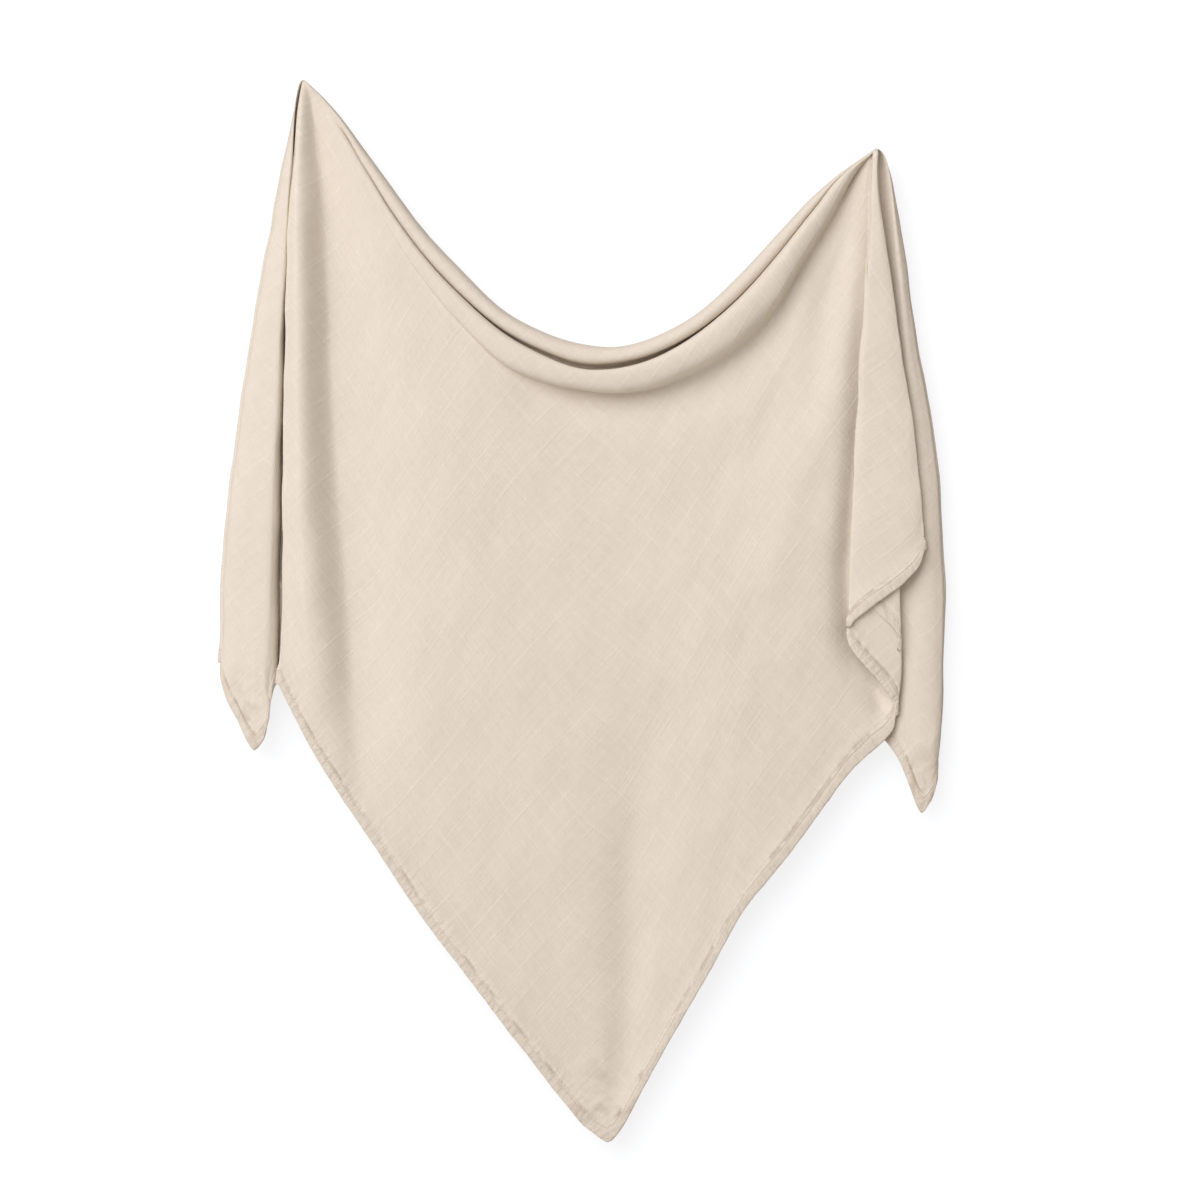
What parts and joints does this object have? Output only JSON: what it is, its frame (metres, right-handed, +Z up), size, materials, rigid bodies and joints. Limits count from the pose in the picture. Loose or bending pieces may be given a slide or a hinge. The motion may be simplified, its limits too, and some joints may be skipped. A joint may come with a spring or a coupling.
{
  "type": "swaddle blanket",
  "caption": "A sand-coloured cotton muslin swaddle blanket hung from two points near its diagonal, with a draped swag between them and folded tails at both ends.",
  "frame": {"origin": "the left hanging point, at the top of the ridge from which the cloth falls", "axes": "+Z up, front of the hung blanket facing -Y, +X from the left hanging point towards the right one"},
  "size_m": [0.5927, 0.0369, 0.8694],
  "materials": {
    "muslin": "matte open muslin weave with a faint diagonal check, sand beige"
  },
  "bodies": {
    "root": {"blanket": "muslin"}
  },
  "joints": []
}
